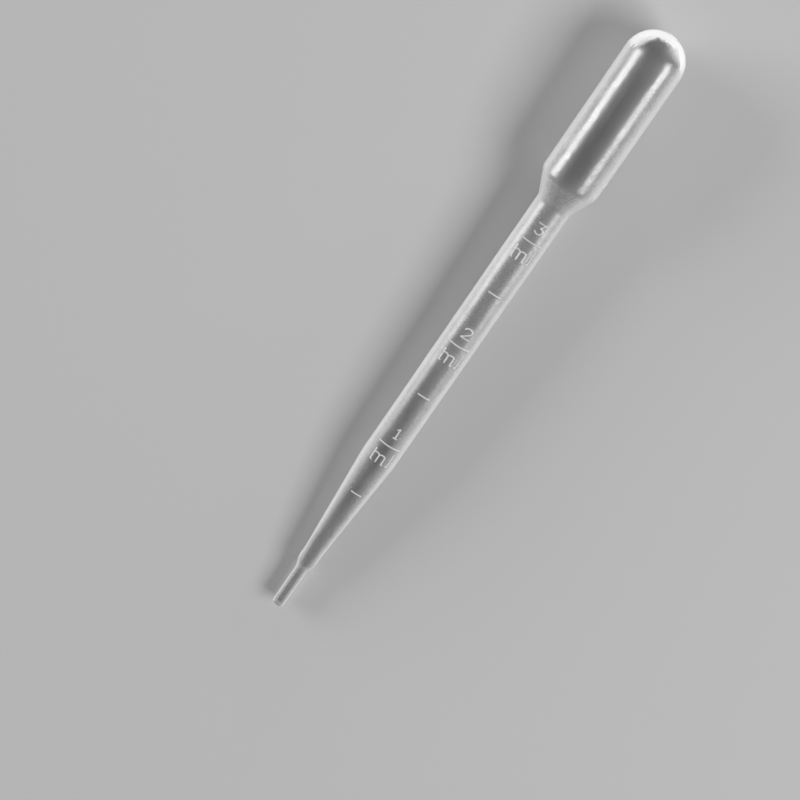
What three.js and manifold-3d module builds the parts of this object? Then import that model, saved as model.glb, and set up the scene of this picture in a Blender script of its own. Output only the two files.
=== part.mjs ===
// Graduated dropper pipette: one hollow shell of milky polyethylene, blown in one piece.
// From the open end up: tip tube, shoulder, collar, tapered foot, straight stem, neck, squeeze bulb, dome.
// Millimetres, +Z up. It lies on its side with the bulb towards +X and the raised scale facing up,
// and rests on the foot of its stem and on the shoulder of its bulb.

import * as THREE from 'three';
import { mergeVertices } from 'three/addons/utils/BufferGeometryUtils.js';
import Module from 'manifold-3d';

// ---- Driving dimensions ----

// Tip: a fine tube, with an S-shaped shoulder up to a short collar.
const TIP_OUTER = 2.7;
const TIP_BORE = 1.8;
const TIP_LENGTH = 9.8;
const SHOULDER_LENGTH = 3;
const COLLAR_OUTER = 4.3;
const COLLAR_LENGTH = 2.6;

// Stem: widens from the collar over its tapered foot, then runs straight up to the neck.
const TAPER_LENGTH = 26.8;
const STEM_OUTER = 7.9;
const STEM_WALL = 0.54;

// Scale: each mark stands for the same volume in the straight bore, and every second one is numbered.
const FIRST_MARK_HEIGHT = 33.9;
const MARK_COUNT = 6;
const MARK_VOLUME = 500;
const MARK_TO_NECK = 8.6;

// Neck and squeeze bulb. The neck is a cone, eased at its foot and rounded where it meets the bulb.
const NECK_LENGTH = 5.5;
const NECK_EASE_LENGTH = 0.6;
const BULB_ROUNDING_LENGTH = 1.1;
const BULB_OUTER = 13;
const BULB_WALL = 0.5;
const BULB_LENGTH = 29.6;

// Raised lettering: how wide and how proud its strokes are, and how large the marks and characters are.
const STROKE = 0.34;
const RELIEF = 0.16;
const LONG_MARK = 5;
const SHORT_MARK = 2.6;
const DIGIT_HEIGHT = 2.4;
const DIGIT_WIDTH = 1.7;
const DIGIT_GAP = 2.2;
const UNIT_WIDTH = 4;
const UNIT_HEIGHT = 3.3;
const UNIT_GAP = 1.4;

// How finely round shapes are cut: flats round the axis, steps along a curve, step length of a stroke, and
// the width below which a sliver between crossing strokes is closed up.
const FLATS = 24;
const CURVE_STEPS = 5;
const STROKE_STEP = 0.7;
const SLIVER = 0.005;

// ---- Derived sizes ----

const collarStart = TIP_LENGTH + SHOULDER_LENGTH;
const taperStart = collarStart + COLLAR_LENGTH;
const stemStart = taperStart + TAPER_LENGTH;

const outerRadius = {
  tip: TIP_OUTER / 2,
  collar: COLLAR_OUTER / 2,
  stem: STEM_OUTER / 2,
  bulb: BULB_OUTER / 2,
};
const boreRadius = {
  tip: TIP_BORE / 2,
  collar: outerRadius.collar - STEM_WALL,
  stem: outerRadius.stem - STEM_WALL,
  bulb: outerRadius.bulb - BULB_WALL,
};

const markStep = MARK_VOLUME / (Math.PI * boreRadius.stem ** 2);
const neckStart = FIRST_MARK_HEIGHT + (MARK_COUNT - 1) * markStep + MARK_TO_NECK;
const bulbStart = neckStart + NECK_LENGTH;
const domeStart = bulbStart + BULB_LENGTH;

// The strokes are rooted halfway into the wall, so that they never reach the bore.
const strokeRoot = STEM_WALL / 2;

// ---- Shell ----

// One skin of the shell, the outside or the bore, as points (radius, distance from the tip end).
function skin(radius) {
  const cone = new THREE.Vector2(radius.bulb - radius.stem, NECK_LENGTH).normalize();
  const path = new THREE.Path();
  path.moveTo(radius.tip, 0);
  path.lineTo(radius.tip, TIP_LENGTH);
  path.bezierCurveTo(
    radius.tip, TIP_LENGTH + SHOULDER_LENGTH / 2,
    radius.collar, collarStart - SHOULDER_LENGTH / 2,
    radius.collar, collarStart,
  );
  path.lineTo(radius.collar, taperStart);
  path.lineTo(radius.stem, stemStart);
  path.lineTo(radius.stem, neckStart - NECK_EASE_LENGTH);
  path.quadraticCurveTo(
    radius.stem, neckStart,
    radius.stem + NECK_EASE_LENGTH * cone.x, neckStart + NECK_EASE_LENGTH * cone.y,
  );
  path.lineTo(radius.bulb - BULB_ROUNDING_LENGTH * cone.x, bulbStart - BULB_ROUNDING_LENGTH * cone.y);
  path.quadraticCurveTo(radius.bulb, bulbStart, radius.bulb, bulbStart + BULB_ROUNDING_LENGTH);
  path.lineTo(radius.bulb, domeStart);
  path.absarc(0, domeStart, radius.bulb, 0, Math.PI / 2);
  return path.getPoints(CURVE_STEPS);
}

// The shell turned from both skins, with its axis along +X and a flat, not an edge, on its underside.
function shellGeometry(outside, bore) {
  const section = [...bore.slice().reverse(), ...outside];
  const lathe = new THREE.LatheGeometry(section, FLATS, Math.PI / FLATS);
  return lathe.rotateZ(-Math.PI / 2);
}

// Radius of the outside at a distance from the tip end, read straight between the outline's points.
function radiusAt(outside, distance) {
  const next = Math.max(1, outside.findIndex((point) => point.y >= distance));
  const low = outside[next - 1];
  const high = outside[next];
  const share = (distance - low.y) / (high.y - low.y);
  return THREE.MathUtils.lerp(low.x, high.x, share);
}

// ---- Raised marks ----
// Drawn flat: x runs across the stem, to the right when the bulb is up, and y runs towards the bulb.

const line = (x0, y0, x1, y1) => new THREE.LineCurve(new THREE.Vector2(x0, y0), new THREE.Vector2(x1, y1));

const arc = (x, y, across, up, from, to) => new THREE.EllipseCurve(
  x, y, across, up, THREE.MathUtils.degToRad(from), THREE.MathUtils.degToRad(to), true,
);

// The digits stand on y = 0, centred on x = 0.
const half = DIGIT_WIDTH / 2;
const digits = {
  1: [
    line(0, 0, 0, DIGIT_HEIGHT),
    line(0, DIGIT_HEIGHT, -0.5 * half, 0.84 * DIGIT_HEIGHT),
    line(-0.45 * half, 0, 0.45 * half, 0),
  ],
  2: [
    arc(0, 0.7 * DIGIT_HEIGHT, half, 0.3 * DIGIT_HEIGHT, 165, -30),
    line(0.87 * half, 0.55 * DIGIT_HEIGHT, -half, 0),
    line(-half, 0, half, 0),
  ],
  3: [
    line(-half, DIGIT_HEIGHT, 0.9 * half, DIGIT_HEIGHT),
    line(0.9 * half, DIGIT_HEIGHT, 0, 0.58 * DIGIT_HEIGHT),
    arc(0, 0.29 * DIGIT_HEIGHT, half, 0.29 * DIGIT_HEIGHT, 90, -150),
  ],
};

// The unit, m and l, hangs below y = 0. Its legs are spaced in thirds, and three of them have a short
// foot. The first leg of the m rises above its arches.
function unitStrokes() {
  const pitch = UNIT_WIDTH / 3;
  const foot = pitch / 5;
  const left = -UNIT_WIDTH / 2;
  const bottom = -UNIT_HEIGHT;
  const arch = pitch / 3;
  const shoulder = bottom + 0.64 * UNIT_HEIGHT - arch;
  const first = line(left, bottom, left, bottom + 0.85 * UNIT_HEIGHT);
  const legs = [1, 2].map((n) => line(left + n * pitch, bottom, left + n * pitch, shoulder));
  const arches = [0, 1].map((n) => arc(left + (n + 0.5) * pitch, shoulder, pitch / 2, arch, 180, 0));
  const feet = [0, 2].map((n) => line(left + n * pitch, bottom, left + n * pitch + foot, bottom));
  const tall = line(-left, bottom, -left, 0);
  const hook = line(-left - foot, bottom, -left, bottom);
  return [first, ...legs, ...arches, ...feet, tall, hook];
}

// A stroke as a solid: a straight bar bent along its curve, running on by half its width at both ends,
// and wrapped round the stem with its origin at a distance from the tip end.
function strokeGeometry(curve, outside, distance) {
  const steps = Math.ceil(curve.getLength() / STROKE_STEP);
  const bar = new THREE.BoxGeometry(1, STROKE, strokeRoot + RELIEF, steps, 1, 1);
  const position = bar.getAttribute('position');
  for (let n = 0; n < position.count; n += 1) {
    const share = position.getX(n) + 0.5;
    const side = position.getY(n);
    const tangent = curve.getTangentAt(share);
    const runOn = STROKE * (Math.floor(share) + Math.ceil(share) - 1) / 2;
    const flat = curve.getPointAt(share).addScaledVector(tangent, runOn);
    flat.add(new THREE.Vector2(-tangent.y, tangent.x).multiplyScalar(side));
    const along = distance + flat.y;
    const turn = flat.x / outerRadius.stem;
    const radius = radiusAt(outside, along) + (RELIEF - strokeRoot) / 2 + position.getZ(n);
    position.setXYZ(n, along, -radius * Math.sin(turn), radius * Math.cos(turn));
  }
  return bar;
}

// Every stroke of the scale: a mark at each step, and on every second one its number and the unit.
function scaleStrokes(outside) {
  const strokes = [];
  for (let n = 1; n <= MARK_COUNT; n += 1) {
    const height = FIRST_MARK_HEIGHT + (n - 1) * markStep;
    const numbered = n % 2 === 0;
    const reach = (numbered ? LONG_MARK : SHORT_MARK) / 2;
    const add = (curves, offset) => {
      strokes.push(...curves.map((curve) => strokeGeometry(curve, outside, height + offset)));
    };
    add([line(-reach, 0, reach, 0)], 0);
    if (numbered) {
      add(digits[n / 2] ?? [], DIGIT_GAP);
      add(unitStrokes(), -UNIT_GAP);
    }
  }
  return strokes;
}

// ---- One solid ----

const wasm = await Module();
wasm.setup();

function toSolid(geometry) {
  const bare = geometry.clone();
  bare.deleteAttribute('normal');
  bare.deleteAttribute('uv');
  const merged = mergeVertices(bare);
  return new wasm.Manifold(new wasm.Mesh({
    numProp: 3,
    vertProperties: new Float32Array(merged.getAttribute('position').array),
    triVerts: new Uint32Array(merged.getIndex().array),
  }));
}

// Corners go to the nearest point of a fine grid, and those that meet there become one.
function closeSlivers(solid) {
  const toGrid = (corner) => {
    for (let axis = 0; axis < 3; axis += 1) {
      corner[axis] = Math.round(corner[axis] / SLIVER) * SLIVER;
    }
  };
  return solid.asOriginal().warp(toGrid).simplify(SLIVER / 2);
}

function toGeometry(solid) {
  const mesh = solid.getMesh();
  const geometry = new THREE.BufferGeometry();
  geometry.setAttribute('position', new THREE.BufferAttribute(mesh.vertProperties, 3));
  geometry.setIndex(new THREE.BufferAttribute(mesh.triVerts, 1));
  geometry.computeVertexNormals();
  return geometry;
}

// The slope at which the pipette lies: it touches at the foot of the stem and again where a straight
// edge laid from there along the underside first meets the bulb.
function restingTilt(outside) {
  const beyond = outside.filter((point) => point.y > neckStart);
  const slopes = beyond.map((point) => (point.x - outerRadius.stem) / (point.y - stemStart));
  return Math.atan(Math.max(...slopes) * Math.cos(Math.PI / FLATS));
}

const outside = skin(outerRadius);
const bore = skin(boreRadius);
const shell = toSolid(shellGeometry(outside, bore));
const marked = scaleStrokes(outside).reduce((whole, stroke) => whole.add(toSolid(stroke)), shell);
const solid = closeSlivers(marked);

const polyethylene = new THREE.MeshStandardMaterial({
  color: 0xdfe2e1,
  roughness: 0.35,
  metalness: 0,
  transparent: true,
  opacity: 0.7,
});

const pipette = new THREE.Mesh(toGeometry(solid), polyethylene);
pipette.name = 'pipette';
pipette.rotation.y = -restingTilt(outside);

// The origin is under the middle of the pipette, on the surface that it lies on.
const box = new THREE.Box3().setFromObject(pipette, true);
const middle = box.getCenter(new THREE.Vector3());
pipette.position.set(-middle.x, -middle.y, -box.min.z);

const dropper = new THREE.Group();
dropper.add(pipette);

export default dropper;
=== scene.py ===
import math

import bpy
import numpy as np
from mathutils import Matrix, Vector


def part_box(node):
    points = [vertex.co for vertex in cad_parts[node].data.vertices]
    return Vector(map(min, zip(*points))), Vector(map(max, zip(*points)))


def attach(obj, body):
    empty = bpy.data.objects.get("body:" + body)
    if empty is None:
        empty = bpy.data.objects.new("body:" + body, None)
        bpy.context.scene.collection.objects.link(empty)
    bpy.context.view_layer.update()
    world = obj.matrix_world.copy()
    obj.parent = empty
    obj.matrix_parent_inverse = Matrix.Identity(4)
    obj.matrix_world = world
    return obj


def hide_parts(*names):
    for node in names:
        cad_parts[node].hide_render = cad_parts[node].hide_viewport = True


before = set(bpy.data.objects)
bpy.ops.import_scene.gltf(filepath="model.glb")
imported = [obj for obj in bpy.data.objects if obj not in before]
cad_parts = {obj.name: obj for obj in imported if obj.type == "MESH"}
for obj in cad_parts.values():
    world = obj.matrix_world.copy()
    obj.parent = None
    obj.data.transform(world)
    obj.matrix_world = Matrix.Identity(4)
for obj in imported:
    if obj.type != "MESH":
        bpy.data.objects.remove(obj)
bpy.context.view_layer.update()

# ---- Shell ----
# The whole pipette is one hollow shell of milky low-density polyethylene, blown into a two-part mould.
# It has a fine open tip, an S-shaped shoulder, a collar, a tapered foot, a straight stem, a cone neck and
# a domed bulb. The scale is raised on the stem, and thin lines show where the two halves of the mould met.

# Sizes in millimetres, from the tip end upwards.
tip_outer, tip_bore, tip_length = 2.7, 1.8, 9.8
shoulder_length = 3.0
collar_outer, collar_length = 4.3, 2.6
taper_length = 26.8
stem_outer, stem_wall = 7.9, 0.54
neck_length = 5.5
bulb_outer, bulb_wall, bulb_length = 13.0, 0.5, 29.6
corner_ease = 0.6
lip_rounding = 0.08

# The scale: six marks, each half a millilitre of the straight bore apart.
first_mark, mark_count, mark_volume, mark_to_neck = 33.9, 6, 500.0, 8.6
stem_bore = stem_outer - 2 * stem_wall
mark_step = mark_volume / (math.pi * (stem_bore / 2) ** 2)
marks = first_mark + mark_step * np.arange(mark_count)

collar_start = tip_length + shoulder_length
taper_start = collar_start + collar_length
stem_start = taper_start + taper_length
neck_start = marks[-1] + mark_to_neck
bulb_start = neck_start + neck_length
dome_start = bulb_start + bulb_length
total_length = dome_start + bulb_outer / 2


def ramp(value, start, end):
    """How far a value has come from start to end, from 0 to 1."""
    return np.clip((value - start) / (end - start), 0, 1)


def skin_radius(along, tip, collar, stem, bulb):
    """Radius of a skin below the dome: an S curve, 3 r^2 - 2 r^3, over the shoulder, straight runs between
    the other stations, and every corner eased by averaging the outline over a short stretch."""
    stations = [collar_start, taper_start, stem_start, neck_start, bulb_start]
    radii = [collar, collar, stem, stem, bulb]
    near = np.asarray(along)[..., None] + np.linspace(-corner_ease, corner_ease, 9)
    rise = ramp(near, tip_length, collar_start)
    shoulder = tip + (collar - tip) * (3 * rise**2 - 2 * rise**3)
    outline = np.where(near < collar_start, shoulder, np.interp(near, stations, radii))
    return outline.mean(axis=-1)


# Raised strokes, each a list of points (across, along) in millimetres: across runs to the right when the
# bulb is up, and along is measured from its mark.
stroke_width, relief = 0.36, 0.17
long_mark, short_mark = 5.0, 2.6
digit_height, digit_width, digit_gap = 2.4, 1.7, 2.2
unit_height, unit_width, unit_gap = 3.3, 4.0, 1.4


def arc(across, along, wide, tall, start, end):
    """Points on an ellipse round (across, along) with half axes wide and tall, from start to end degrees."""
    turn = np.radians(np.linspace(start, end, 9))
    return np.stack([across + wide * np.cos(turn), along + tall * np.sin(turn)], axis=1)


def digit_strokes(digit):
    """Centre lines of a digit that stands on along = digit_gap."""
    half, top = digit_width / 2, digit_height
    strokes = {
        1: [[(0, 0), (0, top), (-0.5 * half, 0.84 * top)], [(-0.45 * half, 0), (0.45 * half, 0)]],
        2: [np.vstack([arc(0, 0.7 * top, half, 0.3 * top, 165, -30), [(-half, 0), (half, 0)]])],
        3: [np.vstack([[(-half, top), (0.9 * half, top)], arc(0, 0.29 * top, half, 0.29 * top, 90, -150)])],
    }[digit]
    return [np.array(stroke) + (0, digit_gap) for stroke in strokes]


def unit_strokes():
    """Centre lines of the unit, m and l, which hangs from along = -unit_gap: legs a third of its width
    apart, three of them with a short foot, two arches, and a first leg that rises above them."""
    pitch = unit_width / 3
    arch, foot = pitch / 3, pitch / 5
    left, bottom = -unit_width / 2, -unit_gap - unit_height
    top = bottom + 0.64 * unit_height - arch
    first = [(left, bottom + 0.85 * unit_height), (left, bottom), (left + foot, bottom)]
    middle = [(left + pitch, bottom), (left + pitch, top)]
    third = [(left + 2 * pitch + foot, bottom), (left + 2 * pitch, bottom), (left + 2 * pitch, top)]
    arches = [arc(left + (n + 0.5) * pitch, top, pitch / 2, arch, 180, 0) for n in range(2)]
    tall = [(-left, -unit_gap), (-left, bottom), (-left - foot, bottom)]
    return [np.array(stroke) for stroke in [first, middle, third, *arches, tall]]


def scale_strokes():
    """Centre lines of the whole scale, with along measured from the tip end."""
    strokes = []
    for n, height in enumerate(marks, start=1):
        numbered = n % 2 == 0
        reach = (long_mark if numbered else short_mark) / 2
        here = [np.array([(-reach, 0), (reach, 0)])]
        if numbered:
            here += digit_strokes(n // 2) + unit_strokes()
        strokes += [stroke + (0, height) for stroke in here]
    return strokes


def distance_to(stroke, across, along):
    """Distance from every place to a stroke: the least distance to any of its straight pieces, each found
    by dropping a perpendicular and stopping at the piece's ends."""
    place = np.stack([across, along], axis=-1)
    nearest = np.full(across.shape, np.inf)
    for start, end in zip(stroke[:-1], stroke[1:]):
        run = end - start
        share = np.clip((place - start) @ run / (run @ run), 0, 1)
        nearest = np.minimum(nearest, np.linalg.norm(place - start - share[..., None] * run, axis=-1))
    return nearest


def raised(across, along):
    """How raised each place of the outside is, from 0 to 1: a round ridge, (1 - d^2)^0.75, over every
    stroke, with d the distance from its centre line in half widths."""
    nearest = np.full(across.shape, np.inf)
    for stroke in scale_strokes():
        reach = (along > stroke[:, 1].min() - stroke_width) & (along < stroke[:, 1].max() + stroke_width)
        nearest[reach] = np.minimum(nearest[reach], distance_to(stroke, across[reach], along[reach]))
    return np.clip(1 - (nearest / (stroke_width / 2)) ** 2, 0, 1) ** 0.75


# The mould's two halves met at a quarter turn to both sides. They left a fine raised line along the whole
# pipette and a low ridge across the end of the bulb, where they pinched the soft tube shut.
parting_turn = math.pi / 2
seam_width, seam_height = 0.22, 0.03
scar_length, scar_width, scar_height = 3.2, 0.5, 0.14


def seam_line(radius, turn):
    """How far the seam stands up, from 0 to 1: 1 - d^2, with d the distance round the skin to the nearer
    parting line in half widths."""
    away = radius * np.abs(np.abs(turn) - parting_turn)
    return np.clip(1 - (away / (seam_width / 2)) ** 2, 0, 1)


def pinch_scar(radius, turn):
    """How far the scar stands up, from 0 to 1: a ridge, (1 - d^2)^0.5, over an ellipse round the pole that
    is longest between the parting lines, with d the distance from the pole in half axes."""
    away = np.hypot(radius * np.cos(turn) / (scar_width / 2), radius * np.sin(turn) / (scar_length / 2))
    return np.sqrt(np.clip(1 - away**2, 0, 1))


# A blown wall strays a little from round, in two waves. Each has its height and the length over which it
# comes on by one radian. They are full where the skin is at least sway_radius from the axis.
short_sway, short_sway_run = 0.012, 4.1
long_sway, long_sway_run = 0.01, 9.7
sway_radius = 3


def sway(radius, place, turn):
    """How far the wall strays, in millimetres: the sum of two sines that wind round the pipette, full on the
    stem and the bulb and fading out towards the fine tip and the pole."""
    short_wave = short_sway * np.sin(place / short_sway_run + 2 * turn)
    long_wave = long_sway * np.sin(place / long_sway_run - 3 * turn)
    return (short_wave + long_wave) * ramp(place, 0, stem_start) * ramp(radius, 0, sway_radius)


# The blown plastic is clearer below the stem, and is drawn out thin over the dome. A thick milky patch with
# a frayed edge lies round the pole, where the tube was pinched shut; it is partly real thick plastic and
# partly painted highlight, made whiter and wider than the pinch alone to stand for a bright light over the
# dome's end. Beside it on the right lies painted light: extra milk that lightens that side of the dome.
# Shares are of the wall, thicknesses are in millimetres, and angles are in degrees from the pole.
foot_share, thin_dome_share = 0.5, 0.15
right_painted_light_milk, patch_thickness = 1.2, 1.2
thinning_start, thinning_end = 85, 60
right_painted_light_start, right_painted_light_end = 62, 42
right_painted_light_steepness, right_painted_light_turn = 1.6, 0.1
patch_reach, flank_reach, left_excess, flank_ease = 36, 40.5, 6.5, 0.23
slow_waver, quick_waver = 2, 1.5
patch_limit = 3


def degrees_from_pole(radius, place):
    """Angle at the middle of the dome between the axis and each place."""
    return np.degrees(np.arctan2(radius, place - dome_start))


def wall_milk(radius, place, turn):
    """Thickness of milky plastic in millimetres at each place: the wall, falling to its share below the stem
    and over the dome, and painted light on the dome's right, extra milk that follows the sine of the turn
    and lightens that side."""
    stations = [taper_start, stem_start, neck_start, bulb_start]
    wall = np.interp(place, stations, [foot_share * stem_wall, stem_wall, stem_wall, bulb_wall])
    from_pole = degrees_from_pole(radius, place)
    thinned = wall * (1 - (1 - thin_dome_share) * ramp(from_pole, thinning_start, thinning_end))
    painted_light_on_right = np.clip(right_painted_light_steepness * np.sin(turn + right_painted_light_turn), 0, 1)
    return thinned + right_painted_light_milk * ramp(from_pole, right_painted_light_start, right_painted_light_end) * painted_light_on_right


def patch_depth(radius, place, turn):
    """How far inside the milky patch each place lies, in tens of degrees from its edge. The patch is partly
    thick plastic and partly painted highlight. The edge is at patch_reach on the top and the underside.
    Beside the parting lines it runs farther down the dome by flank_reach, more on the left than on the
    right, and it wavers all round by two sines."""
    beside = ramp(np.cos(2 * turn), flank_ease, -flank_ease)
    waver = slow_waver * np.sin(7 * turn) + quick_waver * np.sin(16 * turn + 2)
    edge = patch_reach + (flank_reach - left_excess * np.sin(turn)) * beside + waver
    return np.clip((edge - degrees_from_pole(radius, place)) / 10, -patch_limit, patch_limit)


# Shares of light that the skin throws back square on. The bulb has a sharp gloss and the stem a wider, satin
# one. From the fifth mark down to the foot the share fades, a painted shade that dims the reflections where
# less light fell.
bulb_gloss, stem_gloss, shaded_foot_gloss = 0.073, 0.106, 0.045


def gloss_share(place):
    """Share of light thrown back square on at each place, on straight runs between the stations; its fall
    towards the foot is painted shade.
    """
    stations = [stem_start, marks[4], neck_start, bulb_start]
    return np.interp(place, stations, [shaded_foot_gloss, stem_gloss, stem_gloss, bulb_gloss])


def spread(low, high, spacing):
    """Places from low to high whose gaps follow spacing, a function of place: the running total of
    1 / spacing is cut into equal parts."""
    fine = np.linspace(low, high, 40001)
    total = np.concatenate([[0], np.cumsum(np.diff(fine) / spacing(fine[:-1]))])
    return np.interp(np.linspace(0, total[-1], math.ceil(total[-1]) + 1), total, fine)


# Gaps between the columns, in radians, and between the rows, in millimetres, or in degrees over the domes.
lettering_columns, mark_columns, seam_columns, plain_columns = 0.019, 0.04, 0.014, 0.085
lettering_rows, outer_bend_rows, outer_plain_rows = 0.08, 0.25, 1.2
inner_bend_rows, inner_plain_rows = 0.5, 1.8
outer_pole_rows, outer_dome_rows, inner_dome_rows = 1.1, 3.5, 5.5
bend_reach, pole_reach = 2, 18


def column_spacing(turn):
    """Gap between columns in radians: finest over the two mould lines, fine over the lettering, wider out
    to the ends of the long marks, and widest elsewhere."""
    lettering = (unit_width / 2 + stroke_width) / (stem_outer / 2)
    mark_ends = (long_mark / 2 + stroke_width) / (stem_outer / 2)
    over_seam = np.abs(np.abs(turn) - parting_turn) < seam_width / stem_outer
    beyond_marks = np.where(over_seam, seam_columns, plain_columns)
    beyond_lettering = np.where(np.abs(turn) < mark_ends, mark_columns, beyond_marks)
    return np.where(np.abs(turn) < lettering, lettering_columns, beyond_lettering)


def near_bend(along):
    """Whether each place is within bend_reach of a corner of the outline."""
    corners = np.array([tip_length, collar_start, taper_start, stem_start, neck_start, bulb_start])
    return (np.abs(along[:, None] - corners) < bend_reach).any(axis=1)


def outer_spacing(along):
    """Gap between the outer rows: fine over each mark and its lettering, and closer at the bends."""
    offset = along[:, None] - marks
    numbered = np.arange(mark_count) % 2 == 1
    low = np.where(numbered, unit_gap + unit_height, 0) + stroke_width
    high = np.where(numbered, digit_gap + digit_height, 0) + stroke_width
    lettered = ((offset > -low) & (offset < high)).any(axis=1)
    beyond_lettering = np.where(near_bend(along), outer_bend_rows, outer_plain_rows)
    return np.where(lettered, lettering_rows, beyond_lettering)


def inner_spacing(along):
    """Gap between the inner rows: closer at the bends."""
    return np.where(near_bend(along), inner_bend_rows, inner_plain_rows)


def outer_dome_spacing(from_pole):
    """Gap between the outer rows of the dome: close within pole_reach of the pole, over the scar."""
    return np.where(from_pole < pole_reach, outer_pole_rows, outer_dome_rows)


def inner_dome_spacing(from_pole):
    """Gap between the inner rows of the dome: the same all over."""
    return np.full(from_pole.shape, inner_dome_rows)


def skin_outline(tip, collar, stem, bulb, spacing, dome_spacing):
    """Radius and place along one skin, from just above the lip to just short of the pole: the outline below
    the dome, and then a half circle."""
    rows = spread(lip_rounding, dome_start, spacing)
    from_pole = np.radians(spread(0, 90, dome_spacing)[1:-1])[::-1]
    radius = np.concatenate([skin_radius(rows, tip, collar, stem, bulb), bulb * np.sin(from_pole)])
    return radius, np.concatenate([rows, dome_start + bulb * np.cos(from_pole)])


def profile():
    """The section as radius, place and whether it is outside, from the outer pole down to the tip, round
    the lip and up the bore to the inner pole."""
    outer = np.array([tip_outer, collar_outer, stem_outer, bulb_outer]) / 2
    bore = outer - [(tip_outer - tip_bore) / 2, stem_wall, stem_wall, bulb_wall]
    out_radius, out_place = skin_outline(*outer, outer_spacing, outer_dome_spacing)
    in_radius, in_place = skin_outline(*bore, inner_spacing, inner_dome_spacing)
    cut = lip_rounding * np.array([0.3, 1])
    lip_radius = np.concatenate([outer[0] - cut, [(outer[0] + bore[0]) / 2], bore[0] + cut[::-1]])
    lip_place = lip_rounding * np.array([0.3, 0, 0, 0, 0.3])
    radius = np.concatenate([out_radius[::-1], lip_radius, in_radius])
    place = np.concatenate([out_place[::-1], lip_place, in_place])
    return radius, place, np.arange(radius.size) < out_radius.size


def shell_faces(rows, columns):
    """Faces of the shell: squares between neighbouring rows and columns, and a fan at each end round its
    pole, the outer one first."""
    row, column = np.meshgrid(np.arange(rows - 1), np.arange(columns), indexing="ij")
    beside = (column + 1) % columns
    here, after = row * columns, (row + 1) * columns
    squares = np.stack([here + column, after + column, after + beside, here + beside], axis=-1)
    first = np.arange(columns)
    following = (first + 1) % columns
    last_row = (rows - 1) * columns
    outer_pole = np.full(columns, rows * columns)
    inner_pole = outer_pole + 1
    outer_fan = np.stack([outer_pole, first, following], axis=-1)
    inner_fan = np.stack([last_row + first, inner_pole, last_row + following], axis=-1)
    return squares.reshape(-1, 4).tolist() + outer_fan.tolist() + inner_fan.tolist()


def shell_mesh(name):
    """The profile turned round the axis, with X along the axis and a turn of 0 facing up. The outside is
    raised by the scale, the seams and the scar, and both poles are closed. Each point keeps how milky, how
    satin, how glossy and how raised the skin is there."""
    radius, place, outside = (values[:, None] for values in profile())
    turn = spread(-math.pi, math.pi, column_spacing)[:-1]
    around = turn * stem_outer / 2
    lettering = raised(*np.broadcast_arrays(around, place)) * outside
    full = radius + relief * lettering + seam_height * seam_line(radius, turn) * outside
    full = full + sway(radius, place, turn)
    end = place + scar_height * pinch_scar(radius, turn) * (outside & (place > dome_start))
    points = np.stack([end, -full * np.sin(turn), full * np.cos(turn)], axis=-1).reshape(-1, 3)
    poles = [[total_length + scar_height, 0, 0], [total_length - bulb_wall, 0, 0]]

    mesh = bpy.data.meshes.new(name)
    mesh.from_pydata(np.concatenate([points, poles]).tolist(), [], shell_faces(radius.size, turn.size))
    mesh.shade_smooth()
    for label, values, at_pole in (
        ("milk", wall_milk(radius, place, turn), thin_dome_share * bulb_wall),
        ("patch", patch_depth(radius, place, turn), patch_limit),
        ("satin", np.interp(place, [neck_start, bulb_start], [1, 0]), 0),
        ("gloss", gloss_share(place), bulb_gloss),
        ("raised", lettering, 0),
    ):
        attribute = mesh.attributes.new(label, "FLOAT", "POINT")
        values = np.broadcast_to(values, full.shape).ravel()
        attribute.data.foreach_set("value", np.concatenate([values, [at_pole, at_pole]]))
    return mesh


def lay_down(mesh, low, high):
    """Lays the mesh down as the real one lies: tilted until the foot of the stem and the shoulder of the
    bulb touch the surface, in metres, and set in the middle of the box from low to high. Gives back where
    the tip end is, the way along the axis and the way the marks face."""
    beyond = np.linspace(neck_start, dome_start, 400)
    outer = skin_radius(beyond, tip_outer / 2, collar_outer / 2, stem_outer / 2, bulb_outer / 2)
    tilt = math.atan(np.max((outer - stem_outer / 2) / (beyond - stem_start)))
    along = np.array([math.cos(tilt), 0, math.sin(tilt)])
    upward = np.array([-math.sin(tilt), 0, math.cos(tilt)])
    points = np.empty(len(mesh.vertices) * 3)
    mesh.vertices.foreach_get("co", points)
    points = points.reshape(-1, 3) / 1000
    points = points[:, :1] * along + points[:, 1:2] * (0, 1, 0) + points[:, 2:] * upward
    middle = (points.min(axis=0) + points.max(axis=0)) / 2
    shift = (np.array(low) + high) / 2 - middle
    shift[2] = low[2] - points[:, 2].min()
    mesh.vertices.foreach_set("co", (points + shift).ravel())
    mesh.update()
    return shift, along, upward


shell = bpy.data.objects.new("pipette_shell", shell_mesh("pipette_shell"))
bpy.context.scene.collection.objects.link(shell)
tip_end, bulb_way, marks_way = lay_down(shell.data, *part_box("pipette"))


class Signal:
    """One output of a shader node. Arithmetic on it adds the Math node that works it out."""

    def __init__(self, finish, output):
        self.finish = finish
        self.output = output

    def maths(self, operation, *numbers):
        return self.finish.node("Math", {"operation": operation}, dict(enumerate(numbers)))

    def __add__(self, other):
        return self.maths("ADD", self, other)

    __radd__ = __add__

    def __sub__(self, other):
        return self.maths("SUBTRACT", self, other)

    def __rsub__(self, other):
        return self.maths("SUBTRACT", other, self)

    def __mul__(self, other):
        return self.maths("MULTIPLY", self, other)

    __rmul__ = __mul__

    def __truediv__(self, other):
        return self.maths("DIVIDE", self, other)

    def __pow__(self, other):
        return self.maths("POWER", self, other)

    def exponential(self):
        return self.maths("EXPONENT", self)

    def at_least(self, other):
        return self.maths("MAXIMUM", self, other)

    def at_most(self, other):
        return self.maths("MINIMUM", self, other)


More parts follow.
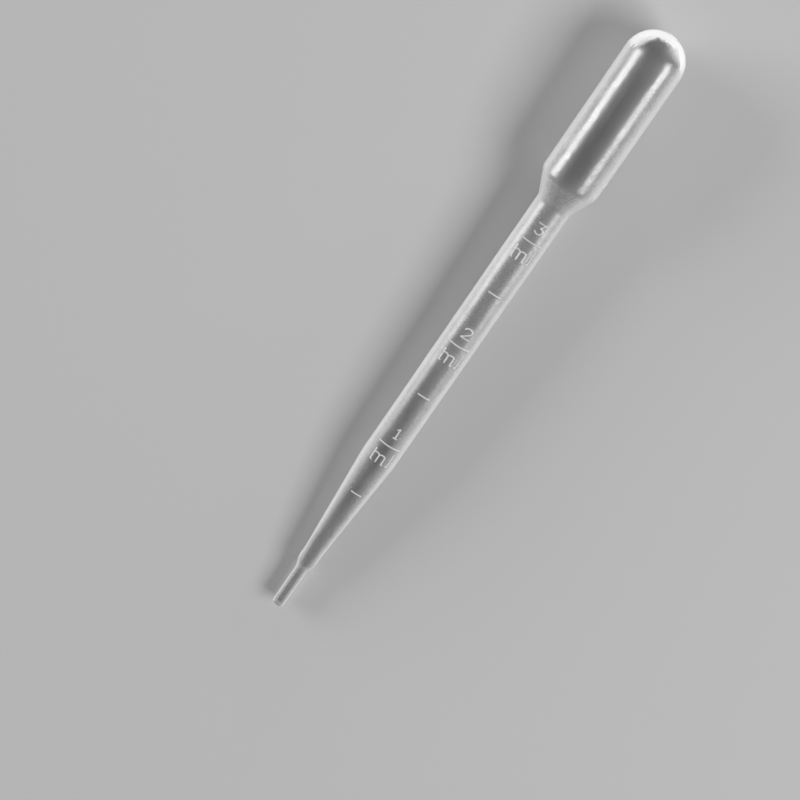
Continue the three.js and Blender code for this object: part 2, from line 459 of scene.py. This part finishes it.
class Finish:
    """The nodes of a material or a world, added one by one."""

    def __init__(self, owner):
        owner.use_nodes = True
        self.tree = owner.node_tree
        self.tree.nodes.clear()

    def node(self, kind, settings, inputs, output=0):
        """Adds a node, makes its settings, fills its sockets with values or links, and gives one output."""
        node = self.tree.nodes.new("ShaderNode" + kind)
        for name, value in settings.items():
            setattr(node, name, value)
        for name, value in inputs.items():
            if isinstance(value, Signal):
                self.tree.links.new(value.output, node.inputs[name])
            else:
                node.inputs[name].default_value = value
        return Signal(self, node.outputs[output]) if node.outputs else None


def grey(value):
    """An opaque colour with the same value in red, green and blue."""
    return (value, value, value, 1)


# How much a millimetre of the plastic scatters, on average and by the weight of each pattern in it.
cloudiness_mean = 0.146
streak_weight, cloud_weight, grain_weight, speck_weight = 0.09, 0.14, 0.1, 0.22

# Greys of the plastic where it is thin and where it is thick and a highlight is painted: the whiter grey is
# partly painted highlight, over the patch round the pole and on the raised strokes. The tint of what is seen
# through it is darker than the plastic passes, a painted shade. A quarter of the light that it scatters goes
# on through, and a raised stroke covers nearly all behind it, partly as painted highlight.
thin_white, thick_and_highlight_white, shaded_clear_tint = 0.76, 0.92, 0.72
onward_share, stroke_cover = 0.25, 0.95

# How sharp the frayed edge of the patch is, and how far the grain pulls it about in tens of degrees.
fray_sharpness, fray_depth = 2.5, 2.5

# Roughness of the bulb, and what the satin stem and the clouds add to it. The gloss at a glancing slant.
bulb_roughness, satin_roughness, cloud_roughness = 0.25, 0.14, 0.2
edge_gloss = 0.7


def milky_polyethylene():
    """Thin milky wall. Light that crosses it square on mostly passes, and light that slants through it is
    scattered, so a skin hides 1 - exp(-milk / cosine^5) of what lies behind it. It is whitest where it is
    thick and where a highlight is painted, over the patch round the pole and on the raised strokes. What
    shows through it is tinted darker than the plastic passes, a painted shade. A gloss lies on top, which
    rises towards the edge with the fifth power of the slant, and which is weakened towards the foot as
    painted shade."""
    material = bpy.data.materials.new("milky_polyethylene")
    finish = Finish(material)
    place = finish.node("TexCoord", {}, {}, "Object")
    wall, patch, satin, square_on, lettering = (
        finish.node("Attribute", {"attribute_name": label}, {}, "Fac")
        for label in ("milk", "patch", "satin", "gloss", "raised")
    )

    def noise(where, scale, detail):
        """Soft noise from 0 to 1, with scale of its waves to the metre."""
        return finish.node("TexNoise", {}, {"Vector": where, "Scale": scale, "Detail": detail})

    # Streaks drawn out along the pipette, soft clouds, grain, fine specks and the slow waves of the surface.
    drawn = finish.node("Mapping", {}, {"Vector": place, "Scale": (60.0, 900.0, 900.0)})
    streaks = noise(drawn, 1.0, 2.0) - 0.5
    clouds = noise(place, 220.0, 3.0) - 0.5
    grain = noise(place, 1100.0, 3.0) - 0.5
    specks = noise(place, 2600.0, 2.0) - 0.5
    waves = noise(place, 260.0, 4.0)

    frayed = (fray_sharpness * (patch + fray_depth * grain)).at_least(0).at_most(1)
    drifts = streak_weight * streaks + cloud_weight * clouds
    cloudiness = cloudiness_mean + drifts + grain_weight * grain + speck_weight * specks
    milk = (wall + patch_thickness * frayed) * cloudiness
    slant = finish.node("LayerWeight", {}, {"Blend": 0.5}, "Facing")
    cosine = (1 - slant).at_least(0.04)
    hides = 1 - (-1 * milk / cosine**5).exponential()
    covers = hides.at_least(stroke_cover * lettering)
    # Painted highlight, partly real thick plastic: the patch and the raised strokes take the whiter grey.
    whitening, thin, white = frayed.at_least(lettering), grey(thin_white), grey(thick_and_highlight_white)
    whiteness = finish.node("Mix", {"data_type": "RGBA"}, {0: whitening, 6: thin, 7: white}, 2)

    uneven = finish.node("Bump", {}, {"Strength": 0.5, "Distance": 0.0002, "Height": waves + 0.3 * grain})
    body = finish.node("BsdfPrincipled", {}, {
        "Base Color": whiteness, "Roughness": 0.5, "Specular IOR Level": 0.0, "Normal": uneven,
    })
    through = finish.node("BsdfTranslucent", {}, {"Color": thin, "Normal": uneven})
    scattered = finish.node("MixShader", {}, {0: onward_share, 1: body, 2: through})
    # Painted shade: what shows through is tinted darker than the plastic passes, to darken the core.
    clear = finish.node("BsdfTransparent", {}, {"Color": grey(shaded_clear_tint)})
    skin = finish.node("MixShader", {}, {0: covers, 1: clear, 2: scattered})
    roughness = bulb_roughness + satin_roughness * satin + cloud_roughness * clouds
    gloss = square_on + edge_gloss * slant**5
    shine = finish.node("BsdfGlossy", {}, {"Color": grey(1), "Roughness": roughness, "Normal": uneven})
    surface = finish.node("MixShader", {}, {0: gloss, 1: skin, 2: shine})
    finish.node("OutputMaterial", {}, {"Surface": surface})
    return material


shell.data.materials.append(milky_polyethylene())
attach(shell, "root")
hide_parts("pipette")

# ---- Floor ----
# A plain pale matt sheet that the pipette lies on. It is painted board, and it ends short of the lamps so
# that no hot spot shows.

floor_reach = 1.25
floor_corners = np.array([(-1, -1, 0), (1, -1, 0), (1, 1, 0), (-1, 1, 0)]) * floor_reach
floor_mesh = bpy.data.meshes.new("floor")
floor_mesh.from_pydata(floor_corners.tolist(), [], [(0, 1, 2, 3)])
floor = bpy.data.objects.new("floor", floor_mesh)
bpy.context.scene.collection.objects.link(floor)
floor_paint = bpy.data.materials.new("floor_paint")
paint = Finish(floor_paint)
matt = paint.node("BsdfPrincipled", {}, {"Base Color": grey(0.55), "Roughness": 0.8})
paint.node("OutputMaterial", {}, {"Surface": matt})
floor_mesh.materials.append(floor_paint)

# ---- Light ----
# Two long soft boxes run beside the pipette, one low on the left and one higher on the right, and a third
# stands beyond the bulb. The room gives an even faint light and is seen as a pale backdrop.

view_turn = math.radians(7.2)
right_way = np.cross(bulb_way, marks_way)
facing = math.cos(view_turn) * marks_way - math.sin(view_turn) * right_way
rightward = math.sin(view_turn) * marks_way + math.cos(view_turn) * right_way


def aim(thing, position, back, right):
    """Puts a thing at position with its -Z away from back and its X as near to right as square allows."""
    back = back / np.linalg.norm(back)
    right = right - back * (right @ back)
    right = right / np.linalg.norm(right)
    placed = np.eye(4)
    placed[:3] = np.stack([right, np.cross(back, right), back, position], axis=1)
    thing.matrix_world = placed.T.tolist()


lamp_distance = 2


def soft_box(name, way, beyond, length, width, radiance, right):
    """A rectangular lamp of even radiance, facing the pipette from lamp_distance metres and moved beyond
    metres towards the bulb's end: its power is radiance times pi times its area."""
    lamp = bpy.data.lights.new(name, "AREA")
    lamp.shape = "RECTANGLE"
    lamp.size, lamp.size_y = length, width
    lamp.energy = radiance * math.pi * length * width
    holder = bpy.data.objects.new(name, lamp)
    bpy.context.scene.collection.objects.link(holder)
    holder.visible_camera = False
    way = way / np.linalg.norm(way)
    aim(holder, lamp_distance * way + (beyond, 0, 0), way, right)
    return holder


left_angle, right_angle = math.radians(69.4), math.radians(57.5)
from_left = math.cos(left_angle) * facing - math.sin(left_angle) * rightward
from_right = math.cos(right_angle) * facing + math.sin(right_angle) * rightward
from_end, across = np.array([1, 0, 0.12]), np.array([0, 1, 0])
soft_box("left_box", from_left, beyond=-0.1, length=1.36, width=0.92, radiance=8.3, right=bulb_way)
soft_box("right_box", from_right, beyond=0.3, length=1.6, width=0.82, radiance=7.9, right=bulb_way)
end_box = soft_box("end_box", from_end, beyond=0, length=1.8, width=0.44, radiance=13, right=across)
end_box.visible_glossy = False

room_light, backdrop_glow = 0.14, 0.3
room = bpy.data.worlds.new("room")
air = Finish(room)
seen, in_gloss, through_clear = (
    air.node("LightPath", {}, {}, f"Is {ray} Ray") for ray in ("Camera", "Glossy", "Transmission")
)
backdrop = (seen + in_gloss + through_clear).at_most(1)
pale = air.node("Background", {}, {"Color": grey(1), "Strength": room_light + backdrop_glow * backdrop})
air.node("OutputWorld", {}, {"Surface": pale})
bpy.context.scene.world = room

# ---- Camera ----
# A long lens half a metre off looks down on the pipette, a little from the bulb's side and turned so that
# the bulb is at the upper right.

view_tilt, view_roll = math.radians(21), math.radians(34.62)
distance, aim_along, aim_aside = 0.480, 0.0562, 0.00325
focal_length, sensor_width = 101.25, 36.0
back = math.sin(view_tilt) * bulb_way + math.cos(view_tilt) * facing
ahead = math.cos(view_tilt) * bulb_way - math.sin(view_tilt) * facing
camera_right = math.sin(view_roll) * ahead + math.cos(view_roll) * rightward
target = tip_end + aim_along * bulb_way - aim_aside * rightward
lens = bpy.data.cameras.new("camera")
lens.lens = focal_length
lens.sensor_width = sensor_width
camera = bpy.data.objects.new("camera", lens)
bpy.context.scene.collection.objects.link(camera)
aim(camera, target + distance * back, back, camera_right)
bpy.context.scene.camera = camera
bpy.context.scene.view_settings.view_transform = "Standard"
